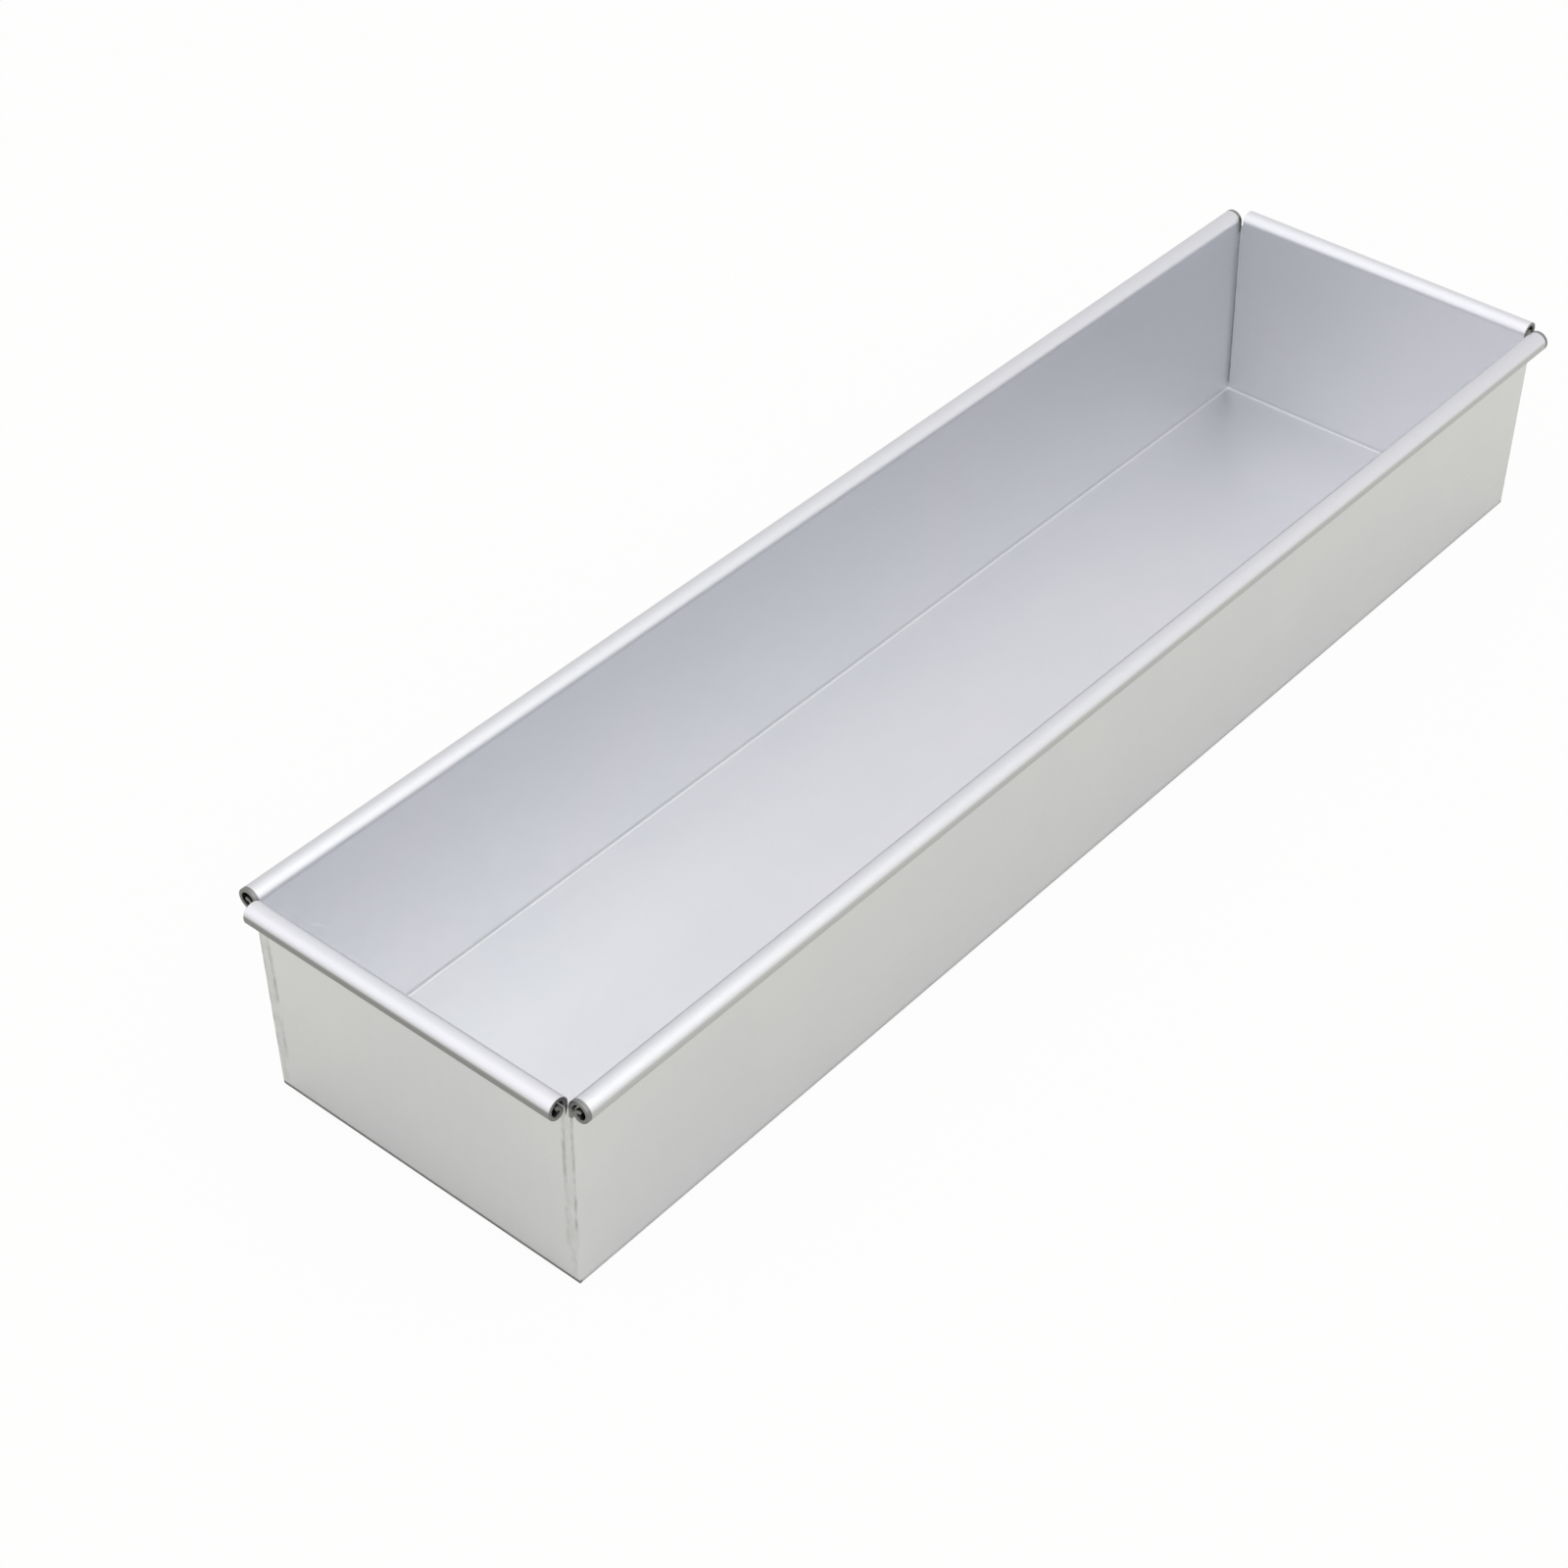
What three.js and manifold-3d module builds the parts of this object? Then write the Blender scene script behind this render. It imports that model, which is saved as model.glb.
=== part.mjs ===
// A long aluminium mould for tiramisu and layer cakes, in millimetres.
// One folded blank makes the floor, the four walls and their rolled rims. A weld bead closes each corner.
// +X runs along the mould, +Y across it and +Z up.
// The origin is on the table, under the middle of the floor.

import * as THREE from "three";
import { mergeVertices } from "three/addons/utils/BufferGeometryUtils.js";
import Module from "manifold-3d";

// Sizes of the whole mould
const innerLength = 400; // between the end walls
const innerWidth = 100; // between the long walls, at the level of the rim's crown
const overallHeight = 62.8; // from the table to the rim's crown
const longWallLean = 1.3; // how far a long wall leans out between the floor and the crown

// Sheet and bends
const sheetThickness = 1;
const bendRadius = 0.8; // inside radius where the floor turns up into a wall

// Rolled rim
const rimRadius = 3.05; // outside radius of the roll
const rollDegrees = 260; // turn of the roll before it tightens into the tucked edge
const tailDegrees = 210; // turn of the tucked edge inside the roll
const tailGap = 0.45; // between the tucked edge and the wall below the roll

// Corner seams
const seamRise = 1.2; // how far above the bend the slot between two walls begins
const weldRootWidth = 0.4; // width of the bead's root in the slot
const weldClearance = 0.3; // between the bead and the metal beside, below and above it
const weldRootInset = 0.2; // how far the root stays back from the inside of the mould
const weldLap = 0.4; // how far the bead's cap laps over each side of the slot
const weldCapHeight = 0.35; // how far the cap stands proud of the end wall

// Fineness of the curves, and how far a cutting solid runs past the rim
const arcStepDegrees = 10;
const capPoints = 12;
const cutOverrun = 2;

const wasm = await Module();
wasm.setup();

const radians = THREE.MathUtils.degToRad;
const halfLength = innerLength / 2;
const endFaceX = halfLength + sheetThickness;
const halfFloorWidth = innerWidth / 2 - longWallLean;
const cutTop = overallHeight + cutOverrun;
const seamStart = sheetThickness + bendRadius + seamRise;
const seamGap = weldRootWidth + 2 * weldClearance;

// The tucked edge leaves the roll at this angle, and its radius leaves the gap to the wall.
const rollRadius = rimRadius - sheetThickness / 2;
const rollEnd = Math.PI - radians(rollDegrees);
const tailRoom = rollRadius - sheetThickness - tailGap;
const tailRadius = (tailRoom + rollRadius * Math.cos(rollEnd)) / (1 + Math.cos(rollEnd));

const anodised = { color: 0xc9cbd0, roughness: 0.42, metalness: 0.9 };
const weldMetal = { color: 0xb9bbba, roughness: 0.55, metalness: 0.9 };

// Walks along the middle of the sheet in a section and keeps the points of its two faces.
class SheetWalk {
  constructor() {
    this.at = new THREE.Vector2(0, sheetThickness / 2);
    this.heading = 0;
    this.inner = [];
    this.outer = [];
    this.markFaces();
  }

  leftOf(heading) {
    return new THREE.Vector2(-Math.sin(heading), Math.cos(heading));
  }

  markFaces() {
    const toInner = this.leftOf(this.heading).multiplyScalar(sheetThickness / 2);
    this.inner.push(this.at.clone().add(toInner));
    this.outer.push(this.at.clone().sub(toInner));
  }

  straight(length) {
    this.at.x += length * Math.cos(this.heading);
    this.at.y += length * Math.sin(this.heading);
    this.markFaces();
  }

  // A positive angle turns left, from the floor up into the wall.
  turn(radius, angle) {
    const side = Math.sign(angle) * radius;
    const centre = this.at.clone().addScaledVector(this.leftOf(this.heading), side);
    const steps = Math.ceil(Math.abs(angle) / radians(arcStepDegrees));
    const from = this.heading;
    for (let i = 1; i <= steps; i++) {
      this.heading = from + (angle * i) / steps;
      this.at = centre.clone().addScaledVector(this.leftOf(this.heading), -side);
      this.markFaces();
    }
  }
}

// Tilt of a wall that leans out over its whole height.
function tiltOf(lean) {
  return Math.atan2(lean, overallHeight - sheetThickness);
}

// Inner face of a wall at a height above the table.
function innerFaceAt(halfFloor, lean, height) {
  return halfFloor + (height - sheetThickness) * Math.tan(tiltOf(lean));
}

// Floor and bend, from the middle of the floor to the foot of the wall.
function walkBend(halfFloor, lean) {
  const turn = Math.PI / 2 - tiltOf(lean);
  const bendReach = bendRadius * Math.tan(turn / 2);
  const walk = new SheetWalk();
  walk.straight(halfFloor - bendReach);
  walk.turn(bendRadius + sheetThickness / 2, turn);
  return walk;
}

// Goes on up the wall until the middle of the sheet is at a height.
function walkWall(walk, lean, height) {
  walk.straight((height - walk.at.y) / Math.cos(tiltOf(lean)));
  return walk;
}

// The whole way: floor, bend, wall, roll and the edge tucked inside the roll.
function walkToTail(halfFloor, lean) {
  const rollStart = overallHeight - rimRadius + rollRadius * Math.sin(tiltOf(lean));
  const walk = walkWall(walkBend(halfFloor, lean), lean, rollStart);
  walk.turn(rollRadius, -radians(rollDegrees));
  walk.turn(tailRadius, -radians(tailDegrees));
  return walk;
}

function mirrored(points) {
  return points.map((p) => new THREE.Vector2(-p.x, p.y)).reverse();
}

// Closed outline of the sheet from tail to tail, across the mould or along it.
function sheetOutline(halfFloor, lean) {
  const walk = walkToTail(halfFloor, lean);
  const side = [...walk.outer.slice(1), ...walk.inner.slice(1).reverse()];
  return [...side, ...mirrored(side)];
}

// Everything inside the outer faces of two opposite walls, up past the rim.
function filledOutline(halfFloor, lean) {
  const side = walkWall(walkBend(halfFloor, lean), lean, cutTop).outer.slice(1);
  return [...side, ...mirrored(side)];
}

// Edge of the end walls' blank: it follows the long walls' bends up to the slots,
// and above them it stays a slot's width short of the long walls.
function endWallBlank() {
  const side = walkWall(walkBend(halfFloorWidth, longWallLean), longWallLean, seamStart).outer.slice(1);
  const slotFloor = side.at(-1).y;
  for (const height of [slotFloor, cutTop]) {
    const innerFace = innerFaceAt(halfFloorWidth, longWallLean, height);
    side.push(new THREE.Vector2(innerFace - seamGap, height));
  }
  return [...side, ...mirrored(side)];
}

// A solid from an outline in a plane, extruded evenly to both sides of it.
function prism(outline, length, frame) {
  const shape = new THREE.Shape(outline);
  const geometry = new THREE.ExtrudeGeometry(shape, { depth: length, bevelEnabled: false });
  geometry.translate(0, 0, -length / 2);
  geometry.applyMatrix4(frame);
  return solidFrom(geometry);
}

function solidFrom(geometry) {
  geometry.deleteAttribute("normal");
  geometry.deleteAttribute("uv");
  const merged = mergeVertices(geometry);
  return new wasm.Manifold(
    new wasm.Mesh({
      numProp: 3,
      vertProperties: merged.getAttribute("position").array,
      triVerts: new Uint32Array(merged.index.array),
    }),
  );
}

function geometryFrom(solid) {
  const mesh = solid.getMesh();
  const geometry = new THREE.BufferGeometry();
  geometry.setAttribute("position", new THREE.BufferAttribute(mesh.vertProperties, 3));
  geometry.setIndex(new THREE.BufferAttribute(mesh.triVerts, 1));
  geometry.computeVertexNormals();
  return geometry;
}

// Outlines across the mould hold y and z, outlines along it hold x and z.
const axisX = new THREE.Vector3(1, 0, 0);
const axisY = new THREE.Vector3(0, 1, 0);
const axisZ = new THREE.Vector3(0, 0, 1);
const acrossFrame = new THREE.Matrix4().makeBasis(axisY, axisZ, axisX);
const alongFrame = new THREE.Matrix4().makeBasis(axisX, axisZ, axisY.clone().negate());

// The long walls, cut at the end walls' outer faces, joined to the end walls, cut along their blank's edge.
function mouldBody() {
  const acrossSheet = prism(sheetOutline(halfFloorWidth, longWallLean), innerLength * 2, acrossFrame);
  const alongFill = prism(filledOutline(halfLength, 0), innerWidth * 2, alongFrame);
  const alongSheet = prism(sheetOutline(halfLength, 0), innerWidth * 2, alongFrame);
  const acrossBlank = prism(endWallBlank(), innerLength * 2, acrossFrame);
  const solid = acrossSheet.intersect(alongFill).add(alongSheet.intersect(acrossBlank));
  const mesh = new THREE.Mesh(geometryFrom(solid), new THREE.MeshStandardMaterial(anodised));
  mesh.name = "mould_body";
  return mesh;
}

// Section of a bead, centred on its slot: x runs across the slot and y out of the end wall.
function weldSection() {
  const halfRoot = weldRootWidth / 2;
  const rootDepth = sheetThickness - weldRootInset;
  const halfCap = seamGap / 2 + weldLap;
  const cap = new THREE.EllipseCurve(0, 0, halfCap, weldCapHeight, 0, Math.PI);
  const root = [
    new THREE.Vector2(-halfRoot, 0),
    new THREE.Vector2(-halfRoot, -rootDepth),
    new THREE.Vector2(halfRoot, -rootDepth),
    new THREE.Vector2(halfRoot, 0),
  ];
  return new THREE.Shape([...cap.getPoints(capPoints), ...root]);
}

// One bead. It is built standing on its foot and facing +X, then put in its corner and leant with the wall.
function cornerWeld(name, alongSide, acrossSide) {
  const foot = seamStart + weldClearance;
  const top = overallHeight - 2 * rimRadius - weldClearance;
  const depth = (top - foot) / Math.cos(tiltOf(longWallLean));
  const geometry = new THREE.ExtrudeGeometry(weldSection(), { depth, bevelEnabled: false });
  geometry.applyMatrix4(new THREE.Matrix4().makeBasis(axisY.clone().negate(), axisX, axisZ));
  const mesh = new THREE.Mesh(geometry, new THREE.MeshStandardMaterial(weldMetal));
  const slotMiddle = innerFaceAt(halfFloorWidth, longWallLean, foot) - seamGap / 2;
  mesh.position.set(alongSide * endFaceX, acrossSide * slotMiddle, foot);
  mesh.rotation.set(-acrossSide * tiltOf(longWallLean), 0, alongSide > 0 ? 0 : Math.PI);
  mesh.name = name;
  return mesh;
}

const mould = new THREE.Group();
mould.add(
  mouldBody(),
  cornerWeld("corner_weld_front_right", -1, -1),
  cornerWeld("corner_weld_front_left", -1, 1),
  cornerWeld("corner_weld_back_right", 1, -1),
  cornerWeld("corner_weld_back_left", 1, 1),
);

export default mould;
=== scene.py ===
"""A long aluminium mould for tiramisu and cakes: folded sheet, rolled rims and welded corners."""

import math

import bmesh
import bpy
from mathutils import Matrix, Vector


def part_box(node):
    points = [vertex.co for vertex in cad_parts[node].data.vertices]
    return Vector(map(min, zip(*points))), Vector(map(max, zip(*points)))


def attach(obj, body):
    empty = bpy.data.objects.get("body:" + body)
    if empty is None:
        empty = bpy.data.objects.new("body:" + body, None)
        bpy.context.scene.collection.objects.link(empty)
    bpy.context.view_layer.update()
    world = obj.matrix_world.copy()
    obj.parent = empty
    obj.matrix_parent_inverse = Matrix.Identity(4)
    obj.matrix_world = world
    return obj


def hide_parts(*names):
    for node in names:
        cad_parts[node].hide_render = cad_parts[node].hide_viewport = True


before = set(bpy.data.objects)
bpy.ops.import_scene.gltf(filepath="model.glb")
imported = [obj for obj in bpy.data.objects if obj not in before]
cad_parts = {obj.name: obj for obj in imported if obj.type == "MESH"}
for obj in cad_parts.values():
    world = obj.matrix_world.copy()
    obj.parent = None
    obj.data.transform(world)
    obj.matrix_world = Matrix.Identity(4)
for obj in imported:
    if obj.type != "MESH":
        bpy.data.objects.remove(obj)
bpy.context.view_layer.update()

MM = 0.001
TINY = 0.01 * MM
SQUARE_TO = 0.9  # a face whose normal lies at least this much along an axis counts as square to it

# Sizes of the sheet and its folds
SHEET = 1.0 * MM
BEND_RADIUS = 0.8 * MM
RIM_RADIUS = 3.05 * MM
WALL_LEAN = 1.3 * MM
ROLL_TURN = math.radians(260)
TAIL_TURN = math.radians(210)
TAIL_GAP = 0.45 * MM
SEAM_RISE = 1.2 * MM
SEAM_FLARE = 0.25 * MM
SLOT = 1.0 * MM
CORNER_STRIP = 2.4 * MM
CUT_EDGE_ROUND = 0.12 * MM
CUT_EDGE_ANGLE = math.radians(50)
CUT_EDGE_STEPS = 2
SHEET_CREASE_ANGLE = math.radians(40)

# Corner welds: a root that fills the slot and a low ground cap over it
ROOT_INSET = 0.06 * MM
ROOT_TOP = 59.2 * MM
CAP_WIDTH = 2.9 * MM
CAP_CROWN_WIDTH = 1.8 * MM
CAP_SHIFT = -0.1 * MM
CAP_TOP_SPREAD = 1.25
CAP_HEIGHT = 0.26 * MM
CAP_BURIED = 0.06 * MM
CAP_TOP = 56.3 * MM
CAP_FOOT = 2.1 * MM
CAP_FOOT_HEIGHT = 0.1 * MM
BEAD_CUTS = 80
BEAD_WANDER = 0.26 * MM
BEAD_SEED = 7
BEAD_EASE = 0.5
BEAD_EASE_ROUNDS = 5
BEAD_ROUNDING = 2
BEAD_CREASE_ANGLE = math.radians(60)

# Fineness of the folded sheet
BEND_STEPS = 6
ROLL_STEPS = 52
TAIL_STEPS = 42
CUTS_ALONG = 47
CUTS_ACROSS = 11
CUTS_UP = 7

# Colours and roughness of the finishes
SHEET_COLOUR = (0.79, 0.79, 0.815)
SHEET_ROUGHNESS = 0.42
HAZE_COLOUR = (0.755, 0.775, 0.80)
BURNISHED_COLOUR = (0.84, 0.845, 0.855)
# Painted shade: a darker grey laid on the rolls' crowns and along the floor's bends
BEND_AND_CROWN_SHADE_COLOUR = (0.70, 0.71, 0.73)
SMOKE_COLOUR = (0.50, 0.50, 0.505)
# Painted shade on the rolls' undersides
UNDERSIDE_SHADE_COLOUR = (0.33, 0.33, 0.335)
# Painted contact shade on the underside and the lowest outer bends
CONTACT_SHADE_COLOUR = (0.25, 0.25, 0.25)
CUT_EDGE_COLOUR = (0.26, 0.26, 0.26)
# Painted shade, near black, deep inside the rolls' open ends
HOLLOW_SHADE_COLOUR = (0.07, 0.07, 0.075)
WELD_COLOUR = (0.70, 0.70, 0.70)
WELD_ROUGHNESS = 0.5
TOE_COLOUR = (0.40, 0.40, 0.40)

# How far each kind of wear and each painted shade turns the colour, from 0 to 1
HAZE = 0.9
SCRATCH_SHINE = 0.2
# Painted shade along the floor's bends
BEND_SHADE = 0.7
# Painted shade on the rolls' crowns, on the end rims and on the long rims
END_RIM_CROWN_SHADE = 0.3
LONG_RIM_CROWN_SHADE = 1.0
SMOKE = 0.9
# Painted shade on the rolls' undersides, on the end rims and on the long rims
END_RIM_UNDERSIDE_SHADE = 1.0
LONG_RIM_UNDERSIDE_SHADE = 0.45
# Painted contact shade at the bottom edges, on the end walls and on the long walls
END_EDGE_CONTACT_SHADE = 1.0
LONG_EDGE_CONTACT_SHADE = 0.22

# How much rougher, or below 0 how much smoother, each pattern and kind of wear makes the metal
LINES_ROUGHEN = 0.10
SPOTS_ROUGHEN = 0.03
BEND_ROUGHENS = 0.15
SCRATCHES_ROUGHEN = -0.08
UNDERSIDE_AND_CONTACT_ROUGHEN = 0.12
WELD_PATCHES_ROUGHEN = 0.12

# Sizes of the patterns, and their relief
ROLLING_LINES = {"width": 0.22 * MM, "length": 14 * MM}
STREAKS = {"width": 1.3 * MM, "length": 60 * MM}
SCRATCHES = {"width": 0.12 * MM, "length": 14 * MM}
GRINDING_LINES = {"width": 0.12 * MM, "length": 2.5 * MM}
CLOUDS = 38 * MM
SPOTS = 5 * MM
WELD_PATCHES = 2.2 * MM
TOE_PATCHES = 6 * MM
SHEET_RELIEF = 0.015 * MM
SCRATCH_DEPTH = 0.3
WELD_RELIEF = 0.03 * MM
WELD_LUMPS = 0.8
LINE_DETAIL, LINE_HARSHNESS = 3.0, 0.6
HAZE_DETAIL, HAZE_HARSHNESS = 4.0, 0.55
HAZE_SPAN = (0.3, 0.7)
SCRATCH_SPAN = (0.76, 0.80)
SCRATCH_TURNS = ((0.9, 0.5, 0.4), (1.1, -0.4, 1.3), (-0.7, 0.9, 2.4))

# Where each mask of wear and of painted shade begins and where it is full. A height is above the
# table, a rise above a roll's centre, a reach past a wall's inner face or a bend's start, and a
# depth past a cut end.
UNDERSIDE_RISE = (1.5 * MM, 0.5 * MM)
UNDERSIDE_REACH = (1.1 * SHEET, 1.5 * SHEET)
HOLLOW_RADIUS = (2.35 * MM, 2.1 * MM)
HOLLOW_DEPTH = (-0.15 * MM, -0.9 * MM)
CUT_EDGE_DEPTH = (-0.14 * MM, -0.04 * MM)
CUT_EDGE_RISE = (-1.1 * RIM_RADIUS, -RIM_RADIUS)
CUT_EDGE_REACH = (-0.3 * MM, 0.0)
STANDING_HEIGHT = (0.8 * MM, 0.3 * MM)
CONTACT_SHADE_REACH = (0.1 * MM, 0.3 * MM)
CONTACT_SHADE_HEIGHT = (2.7 * MM, 1.9 * MM)
BEND_REACH = (-0.3 * MM, 0.2 * MM)
BEND_HEIGHT = (SHEET + 1.6 * BEND_RADIUS, SHEET + 0.8 * BEND_RADIUS)
OUTER_FACE_REACH = (0.6 * SHEET, 0.9 * SHEET)
SMOKE_REACH = (-3.1 * MM, -2.2 * MM)
WELD_MARK_HEIGHT = (8 * MM, 22 * MM)
CROWN_BELOW_TOP = (1.9 * MM, 0.5 * MM)
END_RIM_REACH = (0.0, SHEET)
TOE_FROM_MIDDLE = (0.55 * CAP_WIDTH / 2, 0.9 * CAP_WIDTH / 2)
TOE_BELOW_FACE = (-0.5 * MM, -0.1 * MM)

# Camera, as the photograph has it
LENS_MM = 74.68
SENSOR_MM = 36.0
CAMERA_AZIMUTH = math.radians(-49.018)
CAMERA_ELEVATION = math.radians(40.359)
CAMERA_ROLL = math.radians(-0.546)
CAMERA_TARGET = Vector((-63.52, 6.49, 31.4)) * MM
CAMERA_DISTANCE = 832.52 * MM

# Studio: pale paper under a white surround, with a softbox overhead and one on either side
FLOOR_SIZE = 6.0
PAPER = (0.68, 0.68, 0.68)
WHITE_TO_CAMERA = 0.95
WHITE_TO_METAL = 0.01
FILL = 0.88
FILL_COLOUR = (1.0, 0.98, 0.89)
SURROUND = (0.90, 0.885, 0.91)
SEEN_WHITE = (0.98, 0.98, 0.98)
# name, size, azimuth and elevation in degrees, distance, colour, radiance
SOFTBOXES = (
    ("overhead", 1.8, 0, 90, 1.7, (0.95, 1.0, 0.90), 0.42),
    ("left", 2.0, 152, 40, 2.0, (0.97, 0.95, 1.0), 0.38),
    ("right", 2.2, 272, 45, 2.1, (0.99, 1.0, 0.94), 0.84),
)

body_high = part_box("mould_body")[1]
TILT = math.atan2(WALL_LEAN, body_high.z - SHEET)
HALF_LENGTH = body_high.x - 2 * RIM_RADIUS
WALL_TOP = body_high.z - RIM_RADIUS
LEANING_TOP = WALL_TOP + RIM_RADIUS * math.sin(TILT)
HALF_WIDTH_AT_TOP = body_high.y - RIM_RADIUS - RIM_RADIUS * math.cos(TILT)
HALF_FLOOR = HALF_WIDTH_AT_TOP - (LEANING_TOP - SHEET) * math.tan(TILT)
SEAM_START = SHEET + BEND_RADIUS + SEAM_RISE


# Modelling helpers

def start_piece(name, add_primitive, **size):
    """A new object, alone in the selection and open in edit mode."""
    bpy.ops.object.select_all(action="DESELECT")
    add_primitive(**size)
    piece = bpy.context.active_object
    piece.name = name
    piece.data.name = name
    bpy.ops.object.mode_set(mode="EDIT")
    bpy.ops.mesh.select_all(action="SELECT")
    return piece


def middle(part):
    return sum((corner.co for corner in part.verts), Vector()) / len(part.verts)


def pick(piece, kind, wanted):
    """Selects only the corners, edges or faces that pass the test, and gives their middle."""
    bpy.ops.mesh.select_mode(type=kind)
    bpy.ops.mesh.select_all(action="DESELECT")
    shape = bmesh.from_edit_mesh(piece.data)
    parts = {"VERT": shape.verts, "EDGE": shape.edges, "FACE": shape.faces}[kind]
    found = [part for part in parts if wanted(part)]
    for part in found:
        part.select_set(True)
    places = [part.co.copy() if kind == "VERT" else middle(part) for part in found]
    bmesh.update_edit_mesh(piece.data)
    return sum(places, Vector()) / len(places)


def reach(edge, axis):
    return abs(edge.verts[0].co[axis] - edge.verts[1].co[axis])


def apply_modifier(piece, kind, **settings):
    modifier = piece.modifiers.new(kind.lower(), kind)
    for key, value in settings.items():
        setattr(modifier, key, value)
    bpy.ops.object.modifier_apply(modifier=modifier.name)


# The folded sheet, modelled as its inside face and then given its thickness

def open_box(piece):
    """The cavity's floor and four walls, with the long walls leaning out."""
    size = (2 * HALF_LENGTH, 2 * HALF_FLOOR, WALL_TOP - SHEET)
    bpy.ops.transform.resize(value=size, center_override=(0, 0, 0))
    bpy.ops.transform.translate(value=(0, 0, (WALL_TOP + SHEET) / 2))
    pick(piece, "FACE", lambda face: face.normal.z > SQUARE_TO)
    bpy.ops.mesh.delete(type="FACE")
    half_width = HALF_FLOOR + (WALL_TOP - SHEET) * math.tan(TILT)
    pick(piece, "VERT", lambda corner: corner.co.z > WALL_TOP - TINY)
    bpy.ops.transform.resize(value=(1, half_width / HALF_FLOOR, 1), center_override=(0, 0, 0))


def bend_floor_edges(piece):
    pick(piece, "EDGE", lambda edge: middle(edge).z < SHEET + TINY)
    bpy.ops.mesh.bevel(offset=BEND_RADIUS, segments=BEND_STEPS, affect="EDGES", clamp_overlap=False)


def is_corner_edge(edge):
    at = middle(edge)
    foot = min(corner.co.z for corner in edge.verts)
    upright = reach(edge, 2) > TINY and foot > SEAM_START - TINY
    return upright and abs(at.x) > HALF_LENGTH - TINY and abs(at.y) > HALF_FLOOR


def is_slot_corner(corner, wall_axis):
    """A corner of the mesh beside a slot, on the end wall (axis 0) or on the long wall (axis 1)."""
    beside = abs(corner.co.x) > HALF_LENGTH - TINY and abs(corner.co.y) > HALF_FLOOR
    above = corner.co.z > SEAM_START + TINY
    square = all(abs(face.normal[wall_axis]) > SQUARE_TO for face in corner.link_faces)
    return above and beside and square


def open_corner_slots(piece):
    """Parts the walls above the seams' start: long walls run past the ends, end walls stop short."""
    cuts = [((0, 0, height), (0, 0, 1)) for height in (SEAM_START, SEAM_START + SEAM_FLARE)]
    cuts += [((end * (HALF_LENGTH - CORNER_STRIP), 0, 0), (1, 0, 0)) for end in (-1, 1)]
    cuts += [((0, side * (HALF_FLOOR - CORNER_STRIP), 0), (0, 1, 0)) for side in (-1, 1)]
    for place, direction in cuts:
        bpy.ops.mesh.select_all(action="SELECT")
        bpy.ops.mesh.bisect(plane_co=place, plane_no=direction)
    pick(piece, "EDGE", is_corner_edge)
    bpy.ops.mesh.edge_split(type="EDGE")
    for side in (-1, 1):
        pick(piece, "VERT", lambda c: is_slot_corner(c, 1) and c.co.x * side > 0)
        bpy.ops.transform.translate(value=(side * SHEET, 0, 0))
        pick(piece, "VERT", lambda c: is_slot_corner(c, 0) and c.co.y * side > 0)
        bpy.ops.transform.translate(value=(0, -side * SLOT, 0))


def raise_leaning_tops(piece):
    """Lifts the long walls' upper edges along their slope, to where their rolls begin."""
    rise = LEANING_TOP - WALL_TOP
    for side in (-1, 1):
        pick(piece, "VERT", lambda c: c.co.z > WALL_TOP - TINY and c.co.y * side > 0
             and all(abs(face.normal.y) > SQUARE_TO for face in c.link_faces))
        bpy.ops.transform.translate(value=(0, side * rise * math.tan(TILT), rise))


def cut_into_panels(piece):
    """Divides the long straight edges evenly: along the mould, across it and up its walls."""
    runs = ((0, HALF_LENGTH, CUTS_ALONG), (1, HALF_FLOOR, CUTS_ACROSS), (2, WALL_TOP / 2, CUTS_UP))
    for axis, least, cuts in runs:
        pick(piece, "EDGE", lambda edge: reach(edge, axis) > least)
        bpy.ops.mesh.subdivide(number_cuts=cuts)


def roll_rim(piece, axis, side, tilt, top_edge):
    """Rolls a wall's upper edge outward, and then tucks the edge in on a tighter radius."""
    pick(piece, "EDGE", lambda edge: middle(edge)[axis] * side > 0 and reach(edge, 1 - axis) > TINY
         and all(abs(corner.co.z - top_edge.z) < TINY for corner in edge.verts))
    centre = top_edge.copy()
    centre[axis] += side * RIM_RADIUS * math.cos(tilt)
    centre.z -= RIM_RADIUS * math.sin(tilt)
    turn_axis = (0, -side, 0) if axis == 0 else (side, 0, 0)
    bpy.ops.mesh.spin(steps=ROLL_STEPS, angle=ROLL_TURN, center=centre, axis=turn_axis)

    roll_radius = RIM_RADIUS - SHEET / 2
    leaving = math.pi - ROLL_TURN
    room = roll_radius - SHEET - TAIL_GAP
    tail_radius = (room + roll_radius * math.cos(leaving)) / (1 + math.cos(leaving))
    towards_tail = Vector((0, 0, math.sin(leaving)))
    towards_tail[axis] = side * math.cos(leaving)
    tail_centre = centre + towards_tail * (roll_radius - tail_radius)
    bpy.ops.mesh.spin(steps=TAIL_STEPS, angle=TAIL_TURN, center=tail_centre, axis=turn_axis)


def square_slot_feet(piece):
    """Puts the outside corner below each slot back where the two walls' outer faces meet."""
    outside = HALF_FLOOR + (SEAM_START - SHEET) * math.tan(TILT) + SHEET / math.cos(TILT)
    for end in (-1, 1):
        for side in (-1, 1):
            at = pick(piece, "VERT", lambda c: c.co.x * end > HALF_LENGTH + SHEET / 2
                      and c.co.y * side > HALF_FLOOR + SHEET / 2
                      and abs(c.co.z - SEAM_START) < SEAM_FLARE / 2)
            corner = Vector((end * (HALF_LENGTH + SHEET), side * outside, SEAM_START))
            bpy.ops.transform.translate(value=corner - at)


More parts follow.
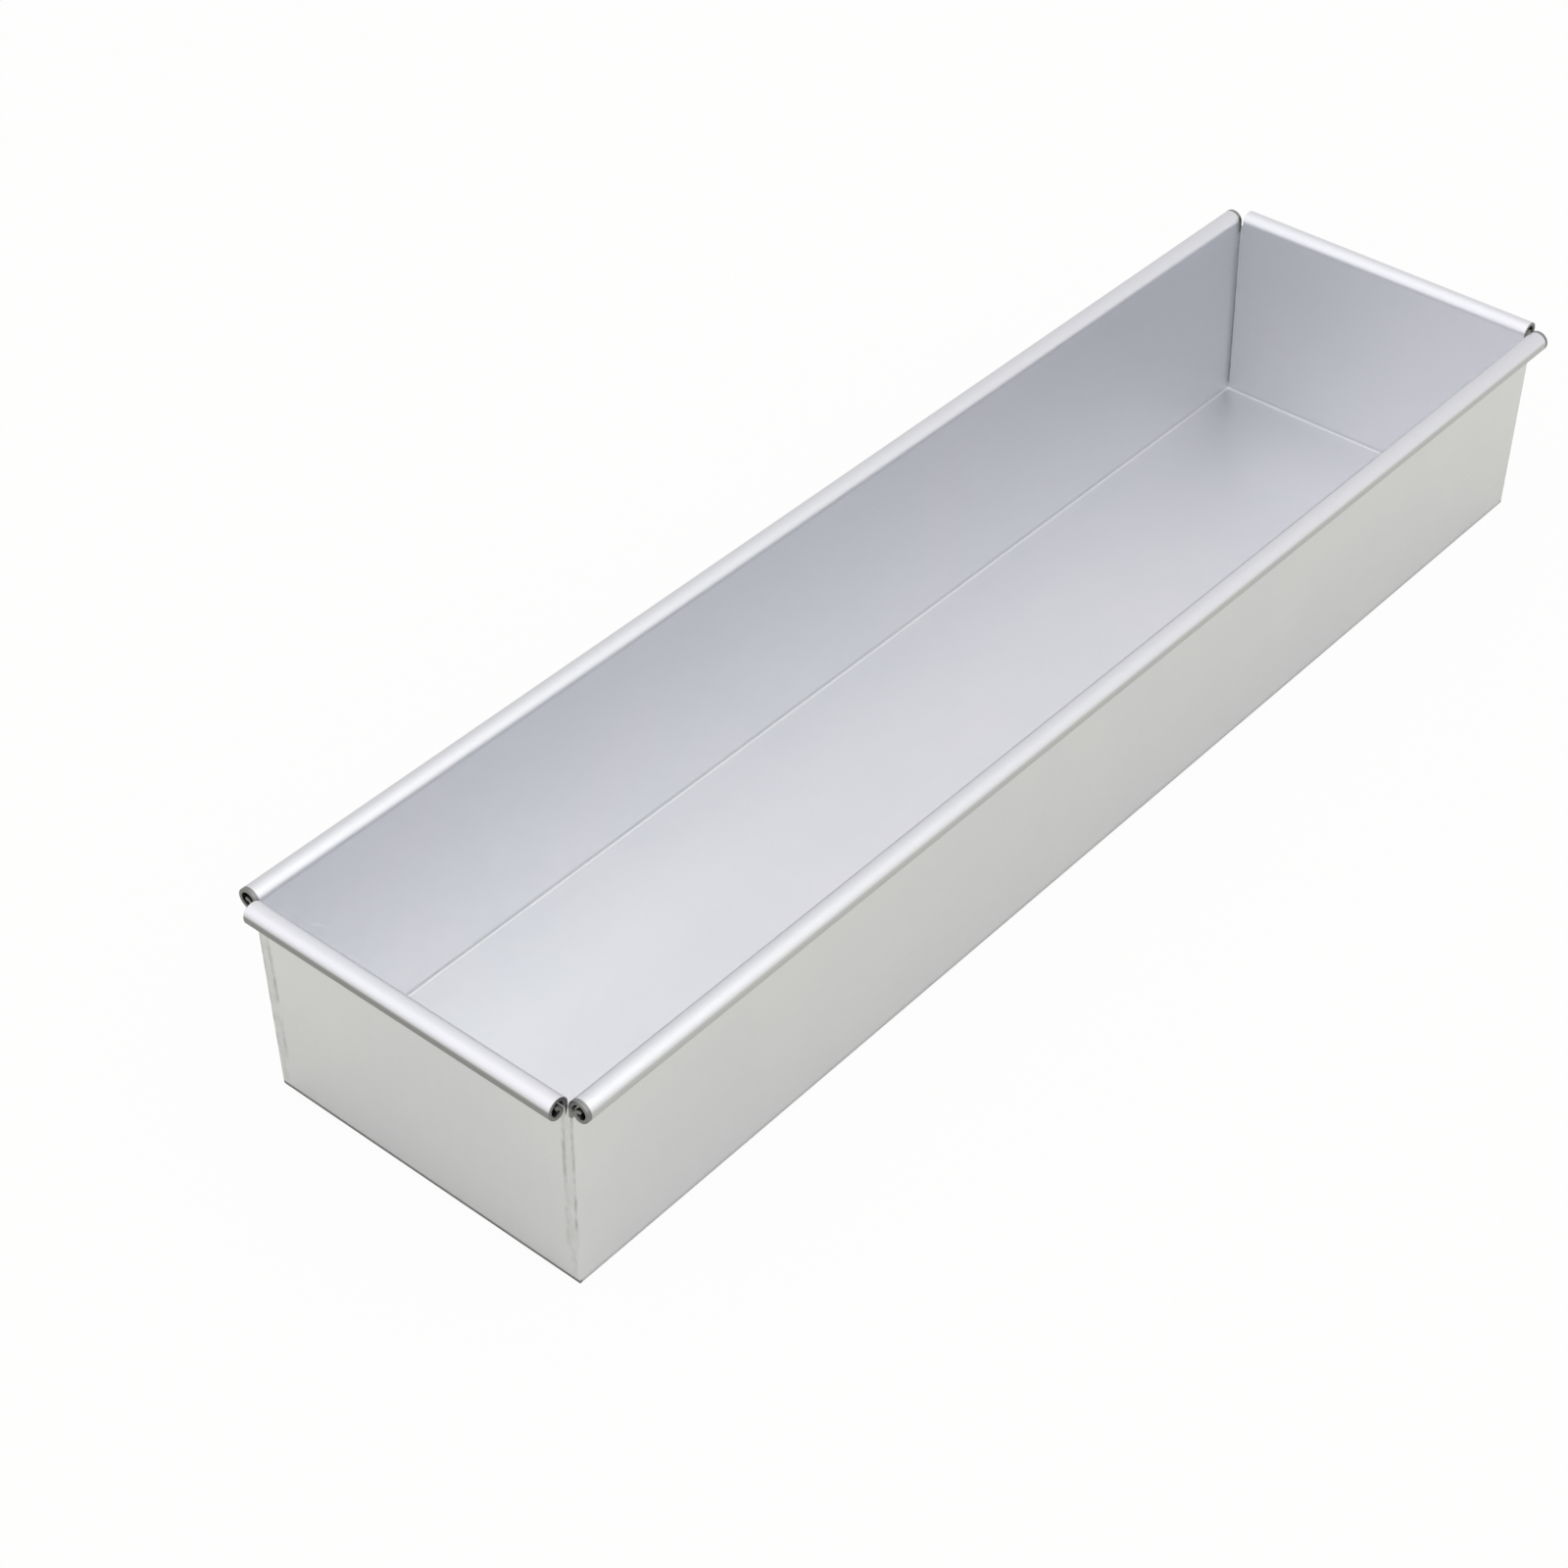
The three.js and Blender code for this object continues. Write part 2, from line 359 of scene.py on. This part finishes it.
def fold_sheet():
    piece = start_piece("folded_sheet", bpy.ops.mesh.primitive_cube_add, size=1)
    open_box(piece)
    bend_floor_edges(piece)
    open_corner_slots(piece)
    raise_leaning_tops(piece)
    cut_into_panels(piece)
    for side in (-1, 1):
        roll_rim(piece, 0, side, 0.0, Vector((side * HALF_LENGTH, 0, WALL_TOP)))
        roll_rim(piece, 1, side, TILT, Vector((0, side * HALF_WIDTH_AT_TOP, LEANING_TOP)))
    bpy.ops.mesh.select_all(action="SELECT")
    bpy.ops.mesh.remove_doubles(threshold=TINY / 10)
    bpy.ops.mesh.normals_make_consistent(inside=False)
    bpy.ops.object.mode_set(mode="OBJECT")
    apply_modifier(piece, "SOLIDIFY", thickness=SHEET, offset=-1, use_even_offset=True)
    bpy.ops.object.mode_set(mode="EDIT")
    square_slot_feet(piece)
    bpy.ops.object.mode_set(mode="OBJECT")
    apply_modifier(piece, "BEVEL", width=CUT_EDGE_ROUND, segments=CUT_EDGE_STEPS,
                   limit_method="ANGLE", angle_limit=CUT_EDGE_ANGLE)
    bpy.ops.object.shade_smooth_by_angle(angle=SHEET_CREASE_ANGLE)
    apply_modifier(piece, "WEIGHTED_NORMAL", keep_sharp=True)
    return piece


# The corner welds

def weld_bead(name, end, side, seed):
    """Fills one corner slot from its foot to the roll, and caps it with a low bead."""
    outside = end * (HALF_LENGTH + SHEET)
    root_depth = SHEET - ROOT_INSET - CAP_BURIED
    root_middle = outside - end * (CAP_BURIED + root_depth / 2)
    slot_middle = side * (HALF_FLOOR + (SEAM_START - SHEET) * math.tan(TILT) - SLOT / 2)
    foot = Vector((outside, slot_middle, SEAM_START))
    piece = start_piece(name, bpy.ops.mesh.primitive_cube_add, size=1)
    bpy.ops.transform.resize(value=(root_depth, SLOT, ROOT_TOP - CAP_FOOT),
                             center_override=(0, 0, 0))
    bpy.ops.transform.translate(value=(root_middle, slot_middle, (ROOT_TOP + CAP_FOOT) / 2))
    bpy.ops.mesh.bisect(plane_co=(0, 0, CAP_TOP), plane_no=(0, 0, 1))
    pick(piece, "FACE", lambda face: face.normal.x * end > SQUARE_TO and middle(face).z < CAP_TOP)
    bpy.ops.mesh.extrude_region_move(TRANSFORM_OT_translate={"value": (0, 0, 0)})
    bpy.ops.transform.resize(value=(1, CAP_WIDTH / SLOT, 1), center_override=foot)
    bpy.ops.transform.translate(value=(0, side * CAP_SHIFT, 0))
    foot.y += side * CAP_SHIFT
    outward = (end * (CAP_BURIED + CAP_HEIGHT), 0, 0)
    bpy.ops.mesh.extrude_region_move(TRANSFORM_OT_translate={"value": outward})
    bpy.ops.transform.resize(value=(1, CAP_CROWN_WIDTH / CAP_WIDTH, 1), center_override=foot)
    pick(piece, "VERT", lambda corner: (corner.co.x - outside) * end > TINY
         and corner.co.z < CAP_FOOT + TINY)
    bpy.ops.transform.translate(value=(end * (CAP_FOOT_HEIGHT - CAP_HEIGHT), 0, 0))
    pick(piece, "VERT", lambda corner: (corner.co.x - outside) * end > -CAP_BURIED - TINY
         and abs(corner.co.z - CAP_TOP) < TINY)
    bpy.ops.transform.resize(value=(1, CAP_TOP_SPREAD, 1), center_override=foot)
    pick(piece, "EDGE", lambda edge: reach(edge, 2) > (CAP_TOP - CAP_FOOT) / 2)
    bpy.ops.mesh.subdivide(number_cuts=BEAD_CUTS)
    pick(piece, "VERT", lambda corner: (corner.co.x - outside) * end > 0)
    bpy.ops.transform.vertex_random(offset=BEAD_WANDER, uniform=1, normal=0, seed=seed)
    bpy.ops.mesh.vertices_smooth(factor=BEAD_EASE, repeat=BEAD_EASE_ROUNDS)
    bpy.ops.mesh.select_all(action="SELECT")
    bpy.ops.mesh.normals_make_consistent(inside=False)
    bpy.ops.transform.rotate(value=side * TILT, orient_axis="X", center_override=foot)
    bpy.ops.object.mode_set(mode="OBJECT")
    apply_modifier(piece, "SUBSURF", levels=BEAD_ROUNDING, render_levels=BEAD_ROUNDING)
    bpy.ops.object.shade_smooth_by_angle(angle=BEAD_CREASE_ANGLE)
    return piece


# Node helpers

def new_material(name):
    material = bpy.data.materials.new(name)
    material.use_nodes = True
    material.node_tree.nodes.clear()
    return material


def add_node(tree, kind, **settings):
    node = tree.nodes.new(kind)
    for key, value in settings.items():
        setattr(node, key, value)
    return node


def feed(tree, socket, value):
    """Links a socket to the one that is given, or sets its plain value."""
    if isinstance(value, bpy.types.NodeSocket):
        tree.links.new(value, socket)
    else:
        socket.default_value = value


def add_math(tree, operation, *values):
    """A Math node on sockets or plain numbers, and its result."""
    node = add_node(tree, "ShaderNodeMath", operation=operation)
    for socket, value in zip(node.inputs, values):
        feed(tree, socket, value)
    return node.outputs[0]


def add_vector(tree, operation, *values):
    """A Vector Math node on vectors, and its result."""
    node = add_node(tree, "ShaderNodeVectorMath", operation=operation)
    for socket, value in zip(node.inputs, values):
        feed(tree, socket, value)
    return next(socket for socket in node.outputs if socket.enabled)


def product(tree, first, *others):
    """The product of masks and plain numbers."""
    for value in others:
        first = add_math(tree, "MULTIPLY", first, value)
    return first


def combine(tree, x, y, z):
    node = add_node(tree, "ShaderNodeCombineXYZ")
    for socket, value in zip(node.inputs, (x, y, z)):
        feed(tree, socket, value)
    return node.outputs[0]


def ramp(tree, value, start, end):
    """Turns smoothly from 0 to 1 as the value goes from start to end, which may be the lower."""
    node = add_node(tree, "ShaderNodeMapRange", interpolation_type="SMOOTHSTEP")
    rising = end > start
    settings = {"From Min": min(start, end), "From Max": max(start, end),
                "To Min": 1 - rising, "To Max": int(rising)}
    for label, number in settings.items():
        node.inputs[label].default_value = number
    feed(tree, node.inputs["Value"], value)
    return node.outputs["Result"]


def noise(tree, place, detail, roughness=0.5):
    node = add_node(tree, "ShaderNodeTexNoise")
    feed(tree, node.inputs["Vector"], place)
    node.inputs["Scale"].default_value = 1.0
    node.inputs["Detail"].default_value = detail
    node.inputs["Roughness"].default_value = roughness
    return node.outputs[0]


def blend(tree, amount, colour, other):
    """A colour that turns into another one by a mask."""
    node = add_node(tree, "ShaderNodeMix", data_type="RGBA")
    colours = [socket for socket in node.inputs if socket.type == "RGBA"]
    feed(tree, node.inputs[0], amount)
    for socket, value in zip(colours, (colour, other)):
        feed(tree, socket, value if isinstance(value, bpy.types.NodeSocket) else (*value, 1))
    return next(socket for socket in node.outputs if socket.type == "RGBA")


def blend_all(tree, colour, *layers):
    """A colour with others laid over it in turn, each by its own mask."""
    for amount, other in layers:
        colour = blend(tree, amount, colour, other)
    return colour


def add_changes(tree, value, *changes):
    """A value that changes by a plain amount where each mask is full."""
    for mask, change in changes:
        value = add_math(tree, "MULTIPLY_ADD", mask, change, value)
    return value


def centred(tree, pattern):
    """A pattern that swings about 0 in place of a half."""
    return add_math(tree, "SUBTRACT", pattern, 0.5)


def object_place(tree):
    """The point's own place on the mould: as a vector, and as x, y and z."""
    place = add_node(tree, "ShaderNodeTexCoord").outputs["Object"]
    split = add_node(tree, "ShaderNodeSeparateXYZ")
    tree.links.new(place, split.inputs[0])
    return place, split.outputs


def new_group(name, inputs, output):
    """An empty node group with numbers that go in and one mask that comes out."""
    group = bpy.data.node_groups.new(name, "ShaderNodeTree")
    for label, value in inputs.items():
        socket = group.interface.new_socket(label, in_out="INPUT", socket_type="NodeSocketFloat")
        socket.default_value = value
    group.interface.new_socket(output, in_out="OUTPUT", socket_type="NodeSocketFloat")
    given = add_node(group, "NodeGroupInput").outputs
    result = add_node(group, "NodeGroupOutput").inputs
    return group, given, result


def use_group(tree, group, **values):
    """Places a group in a material with its own values, and gives what comes out of it."""
    node = add_node(tree, "ShaderNodeGroup", node_tree=group)
    for label, value in values.items():
        node.inputs[label.replace("_", " ").capitalize()].default_value = value
    return node.outputs[0]


# Effects that the finishes share

def make_rolling_lines():
    """Fine lines of the rolled sheet, which run along the mould and turn up on its end walls."""
    inputs = {"Width": ROLLING_LINES["width"], "Length": ROLLING_LINES["length"]}
    group, given, result = new_group("rolling_lines", inputs, "Lines")
    x, y, z = object_place(group)[1]
    turned = add_math(group, "GREATER_THAN", add_math(group, "ABSOLUTE", x),
                      HALF_LENGTH - BEND_RADIUS / 2)
    flat = add_math(group, "SUBTRACT", 1.0, turned)
    along = add_math(group, "ADD", product(group, x, flat), product(group, z, turned))
    across = add_math(group, "ADD", product(group, z, flat), product(group, x, turned))
    size = combine(group, given["Length"], given["Width"], given["Width"])
    spot = add_vector(group, "DIVIDE", combine(group, along, y, across), size)
    feed(group, result[0], noise(group, spot, LINE_DETAIL, LINE_HARSHNESS))
    return group


def make_haze():
    """Cloudy patches, as washing and handling leave on the anodised face."""
    group, given, result = new_group("haze", {"Patch size": CLOUDS}, "Haze")
    place = object_place(group)[0]
    size = combine(group, given["Patch size"], given["Patch size"], given["Patch size"])
    spot = add_vector(group, "DIVIDE", place, size)
    feed(group, result[0], ramp(group, noise(group, spot, HAZE_DETAIL, HAZE_HARSHNESS), *HAZE_SPAN))
    return group


def make_hairlines():
    """Sparse hairline scratches: thin slices through space, which cross every face in lines."""
    inputs = {"Width": SCRATCHES["width"], "Length": SCRATCHES["length"]}
    group, given, result = new_group("hairlines", inputs, "Scratches")
    place = object_place(group)[0]
    size = combine(group, given["Length"], given["Length"], given["Width"])
    scratches = 0.0
    for turn in SCRATCH_TURNS:
        mapping = add_node(group, "ShaderNodeMapping")
        mapping.inputs["Rotation"].default_value = turn
        group.links.new(place, mapping.inputs["Vector"])
        spot = add_vector(group, "DIVIDE", mapping.outputs["Vector"], size)
        slices = ramp(group, noise(group, spot, detail=0.0), *SCRATCH_SPAN)
        scratches = add_math(group, "MAXIMUM", slices, scratches)
    feed(group, result[0], scratches)
    return group


# Finishes

def distance_from(tree, across, wall):
    """How far a point lies beyond a wall or line on either side of the mould's middle."""
    return add_math(tree, "SUBTRACT", add_math(tree, "ABSOLUTE", across), wall)


def add_metal(material, colour, roughness, height, relief):
    """The metal itself, on a colour, a roughness and a height that vary over the surface."""
    tree = material.node_tree
    bump = add_node(tree, "ShaderNodeBump")
    bump.inputs["Strength"].default_value = 1.0
    bump.inputs["Distance"].default_value = relief
    feed(tree, bump.inputs["Height"], height)
    shader = add_node(tree, "ShaderNodeBsdfPrincipled")
    shader.inputs["Metallic"].default_value = 1.0
    feed(tree, shader.inputs["Base Color"], colour)
    feed(tree, shader.inputs["Roughness"], roughness)
    feed(tree, shader.inputs["Normal"], bump.outputs[0])
    out = add_node(tree, "ShaderNodeOutputMaterial")
    tree.links.new(shader.outputs["BSDF"], out.inputs["Surface"])


def past_long_wall(tree, y, z):
    """How far a point lies beyond the leaning inner face of the long wall on its side."""
    upright = add_math(tree, "MULTIPLY_ADD", z, -math.tan(TILT), add_math(tree, "ABSOLUTE", y))
    return add_math(tree, "SUBTRACT", upright, HALF_FLOOR)


def roll_masks(tree, x, y, z):
    """Masks of painted shade on the rolls' undersides and deep in the hollows inside them, and of
    their cut ends.
    """
    rise = add_math(tree, "SUBTRACT", z, WALL_TOP)
    low_half = ramp(tree, rise, *UNDERSIDE_RISE)
    long_centre = HALF_WIDTH_AT_TOP + RIM_RADIUS * math.cos(TILT)
    rolls = ((x, HALF_LENGTH, HALF_LENGTH + RIM_RADIUS, y, HALF_WIDTH_AT_TOP - SLOT, END_RIM_UNDERSIDE_SHADE),
             (y, HALF_WIDTH_AT_TOP, long_centre, x, HALF_LENGTH + SHEET, LONG_RIM_UNDERSIDE_SHADE))
    undersides, hollows, cut_ends = [], [], []
    for across, wall, centre, along, cut_end, underside_shade in rolls:
        past_wall = distance_from(tree, across, wall)
        past_end = distance_from(tree, along, cut_end)
        undersides.append(product(tree, ramp(tree, past_wall, *UNDERSIDE_REACH), low_half, underside_shade))
        offset = combine(tree, distance_from(tree, across, centre), rise, 0.0)
        inside = ramp(tree, add_vector(tree, "LENGTH", offset), *HOLLOW_RADIUS)
        hollows.append(product(tree, inside, ramp(tree, past_end, *HOLLOW_DEPTH)))
        cut_ends.append(product(tree, ramp(tree, past_end, *CUT_EDGE_DEPTH),
                                ramp(tree, rise, *CUT_EDGE_RISE),
                                ramp(tree, past_wall, *CUT_EDGE_REACH)))
    return [add_math(tree, "MAXIMUM", *masks) for masks in (undersides, hollows, cut_ends)]


def contact_shade_mask(tree, x, y, z):
    """Mask of painted contact shade on the underside and the outer bends just above it, strongest at
    the ends.
    """
    low = ramp(tree, z, *CONTACT_SHADE_HEIGHT)
    edges = ((x, HALF_LENGTH, END_EDGE_CONTACT_SHADE), (y, HALF_FLOOR, LONG_EDGE_CONTACT_SHADE))
    bends = [product(tree, ramp(tree, distance_from(tree, across, wall), *CONTACT_SHADE_REACH), low, contact_shade)
             for across, wall, contact_shade in edges]
    standing = ramp(tree, z, *STANDING_HEIGHT)
    return add_math(tree, "MAXIMUM", standing, add_math(tree, "MAXIMUM", *bends))


def bend_shade_mask(tree, x, y, z):
    """Mask of painted shade along the bends between the floor and the walls."""
    bends = [ramp(tree, distance_from(tree, across, wall - BEND_RADIUS), *BEND_REACH)
             for across, wall in ((x, HALF_LENGTH), (y, HALF_FLOOR))]
    return product(tree, add_math(tree, "MAXIMUM", *bends), ramp(tree, z, *BEND_HEIGHT), BEND_SHADE)


def smoke_mask(tree, x, y, z, patches):
    """Mask of the uneven grey band that welding leaves on the end walls beside the beads."""
    on_face = ramp(tree, distance_from(tree, x, HALF_LENGTH), *OUTER_FACE_REACH)
    beside = ramp(tree, past_long_wall(tree, y, z), *SMOKE_REACH)
    above_foot = ramp(tree, z, *WELD_MARK_HEIGHT)
    below_roll = ramp(tree, z, ROOT_TOP, CAP_TOP)
    return product(tree, on_face, beside, above_foot, below_roll, patches, SMOKE)


def crown_mask(tree, x, z):
    """Mask of painted shade on the rolls' upper sides, strongest along the mould."""
    high = ramp(tree, z, *(body_high.z - below for below in CROWN_BELOW_TOP))
    on_end = ramp(tree, distance_from(tree, x, HALF_LENGTH), *END_RIM_REACH)
    crown_shade = add_math(tree, "MULTIPLY_ADD", on_end, END_RIM_CROWN_SHADE - LONG_RIM_CROWN_SHADE, LONG_RIM_CROWN_SHADE)
    return product(tree, high, crown_shade)


def satin_anodised(rolling_lines, haze, hairlines):
    """Satin anodised sheet with rolling lines, haze, hairlines and weld smoke, and painted shade on
    its bends, rim crowns, roll undersides, roll hollows and bottom edges.
    """
    material = new_material("satin_anodised")
    tree = material.node_tree
    x, y, z = object_place(tree)[1]
    lines = use_group(tree, rolling_lines, **ROLLING_LINES)
    streaks = use_group(tree, rolling_lines, **STREAKS)
    clouds = use_group(tree, haze, patch_size=CLOUDS)
    spots = use_group(tree, haze, patch_size=SPOTS)
    scratches = use_group(tree, hairlines, **SCRATCHES)
    underside, hollow, cut_end = roll_masks(tree, x, y, z)
    contact_shade = contact_shade_mask(tree, x, y, z)
    bend = bend_shade_mask(tree, x, y, z)

    tone = product(tree, add_math(tree, "ADD", clouds, streaks), HAZE / 2)
    colour = blend_all(tree, SHEET_COLOUR,
                       (tone, HAZE_COLOUR),
                       # painted shade on the rolls' crowns
                       (crown_mask(tree, x, z), BEND_AND_CROWN_SHADE_COLOUR),
                       (product(tree, scratches, SCRATCH_SHINE), BURNISHED_COLOUR),
                       # painted shade along the floor's bends
                       (bend, BEND_AND_CROWN_SHADE_COLOUR),
                       (smoke_mask(tree, x, y, z, spots), SMOKE_COLOUR),
                       # painted shade on the rolls' undersides
                       (underside, UNDERSIDE_SHADE_COLOUR),
                       # painted contact shade at the bottom edges
                       (contact_shade, CONTACT_SHADE_COLOUR),
                       (cut_end, CUT_EDGE_COLOUR),
                       # painted shade deep inside the rolls' open ends
                       (hollow, HOLLOW_SHADE_COLOUR))
    roughness = add_changes(tree, SHEET_ROUGHNESS,
                            (centred(tree, lines), LINES_ROUGHEN),
                            (centred(tree, spots), SPOTS_ROUGHEN),
                            (bend, BEND_ROUGHENS),
                            (scratches, SCRATCHES_ROUGHEN),
                            (add_math(tree, "MAXIMUM", underside, contact_shade), UNDERSIDE_AND_CONTACT_ROUGHEN))
    height = add_changes(tree, lines, (scratches, -SCRATCH_DEPTH))
    add_metal(material, colour, roughness, height, SHEET_RELIEF)
    return material


def weld_filler(rolling_lines, haze):
    """Filler metal, ground nearly flush: fine lines, uneven tone and a dark toe on either side."""
    material = new_material("weld_filler")
    tree = material.node_tree
    x, y, z = object_place(tree)[1]
    grinding = use_group(tree, rolling_lines, **GRINDING_LINES)
    patches = use_group(tree, haze, patch_size=WELD_PATCHES)
    from_middle = add_math(tree, "SUBTRACT", past_long_wall(tree, y, z), CAP_SHIFT - SLOT / 2)
    side = ramp(tree, add_math(tree, "ABSOLUTE", from_middle), *TOE_FROM_MIDDLE)
    on_cap = ramp(tree, distance_from(tree, x, HALF_LENGTH + SHEET), *TOE_BELOW_FACE)
    uneven = use_group(tree, haze, patch_size=TOE_PATCHES)
    toe = product(tree, side, on_cap, uneven, ramp(tree, z, *WELD_MARK_HEIGHT))
    colour = blend_all(tree, WELD_COLOUR, (patches, HAZE_COLOUR), (toe, TOE_COLOUR))
    roughness = add_changes(tree, WELD_ROUGHNESS, (centred(tree, patches), WELD_PATCHES_ROUGHEN))
    height = add_changes(tree, grinding, (patches, WELD_LUMPS))
    add_metal(material, colour, roughness, height, WELD_RELIEF)
    return material


# Stage, light and camera

def background_share(tree, to_camera, to_metal):
    """How much of the plain background a ray sees, from the camera or off metal or glass."""
    path = add_node(tree, "ShaderNodeLightPath")
    reflected = add_math(tree, "MAXIMUM", path.outputs["Is Glossy Ray"],
                         path.outputs["Is Transmission Ray"])
    seen = add_math(tree, "MULTIPLY", path.outputs["Is Camera Ray"], to_camera)
    return add_math(tree, "MULTIPLY_ADD", reflected, to_metal, seen)


def make_floor():
    """Pale paper that takes the shadow. A white background hides most of it from the camera."""
    bpy.ops.object.select_all(action="DESELECT")
    bpy.ops.mesh.primitive_plane_add(size=FLOOR_SIZE)
    floor = bpy.context.active_object
    floor.name = "studio_floor"
    material = new_material("pale_floor")
    tree = material.node_tree
    paper = add_node(tree, "ShaderNodeBsdfDiffuse")
    paper.inputs["Color"].default_value = (*PAPER, 1)
    glow = add_node(tree, "ShaderNodeEmission")
    glow.inputs["Color"].default_value = (1, 1, 1, 1)
    mix = add_node(tree, "ShaderNodeMixShader")
    tree.links.new(background_share(tree, WHITE_TO_CAMERA, WHITE_TO_METAL), mix.inputs[0])
    tree.links.new(paper.outputs[0], mix.inputs[1])
    tree.links.new(glow.outputs[0], mix.inputs[2])
    out = add_node(tree, "ShaderNodeOutputMaterial")
    tree.links.new(mix.outputs[0], out.inputs["Surface"])
    floor.data.materials.append(material)


def make_world():
    """An even surround: one tone lights the paper, the metal mirrors another, and white is seen."""
    world = bpy.data.worlds.new("studio")
    bpy.context.scene.world = world
    world.use_nodes = True
    tree = world.node_tree
    tree.nodes.clear()
    tones = []
    for colour, strength in ((FILL_COLOUR, FILL), (SURROUND, 1.0), (SEEN_WHITE, 1.0)):
        background = add_node(tree, "ShaderNodeBackground")
        background.inputs["Color"].default_value = (*colour, 1)
        background.inputs["Strength"].default_value = strength
        tones.append(background.outputs[0])
    surround = tones[0]
    shares = (background_share(tree, to_camera=0.0, to_metal=1.0),
              background_share(tree, to_camera=1.0, to_metal=0.0))
    for share, tone in zip(shares, tones[1:]):
        mix = add_node(tree, "ShaderNodeMixShader")
        tree.links.new(share, mix.inputs[0])
        tree.links.new(surround, mix.inputs[1])
        tree.links.new(tone, mix.inputs[2])
        surround = mix.outputs[0]
    out = add_node(tree, "ShaderNodeOutputWorld")
    tree.links.new(surround, out.inputs["Surface"])


def add_softbox(name, size, azimuth, elevation, distance, colour, radiance):
    """A square lamp that faces the mould and shines as brightly as a surface of that radiance."""
    data = bpy.data.lights.new(name, "AREA")
    data.shape = "SQUARE"
    data.size = size
    data.color = colour
    data.energy = radiance * math.pi * size * size
    lamp = bpy.data.objects.new(name, data)
    bpy.context.scene.collection.objects.link(lamp)
    towards, height = math.radians(azimuth), math.radians(elevation)
    flat = math.cos(height)
    direction = Vector((math.cos(towards) * flat, math.sin(towards) * flat, math.sin(height)))
    lamp.location = direction * distance
    lamp.rotation_euler = direction.to_track_quat("Z", "Y").to_euler()


def make_camera():
    data = bpy.data.cameras.new("portrait")
    data.lens = LENS_MM
    data.sensor_width = SENSOR_MM
    camera = bpy.data.objects.new("portrait", data)
    bpy.context.scene.collection.objects.link(camera)
    flat = math.cos(CAMERA_ELEVATION)
    back = Vector((math.sin(CAMERA_AZIMUTH) * flat, -math.cos(CAMERA_AZIMUTH) * flat,
                   math.sin(CAMERA_ELEVATION)))
    camera.location = CAMERA_TARGET + back * CAMERA_DISTANCE
    turn = (-back).to_track_quat("-Z", "Y").to_matrix().to_4x4()
    camera.rotation_euler = (turn @ Matrix.Rotation(CAMERA_ROLL, 4, "Z")).to_euler()
    bpy.context.scene.camera = camera


bpy.context.scene.view_settings.view_transform = "Standard"
make_camera()
make_world()
make_floor()
for softbox in SOFTBOXES:
    add_softbox(*softbox)

rolling_lines, haze = make_rolling_lines(), make_haze()
sheet_finish = satin_anodised(rolling_lines, haze, make_hairlines())
weld_finish = weld_filler(rolling_lines, haze)

sheet = fold_sheet()
sheet.data.materials.append(sheet_finish)
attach(sheet, "root")
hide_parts("mould_body")

for end, along in ((-1, "front"), (1, "back")):
    for side, across in ((-1, "right"), (1, "left")):
        weld = weld_bead(f"weld_{along}_{across}", end, side, seed=BEAD_SEED + 2 * end + side)
        weld.data.materials.append(weld_finish)
        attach(weld, "root")
        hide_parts(f"corner_weld_{along}_{across}")
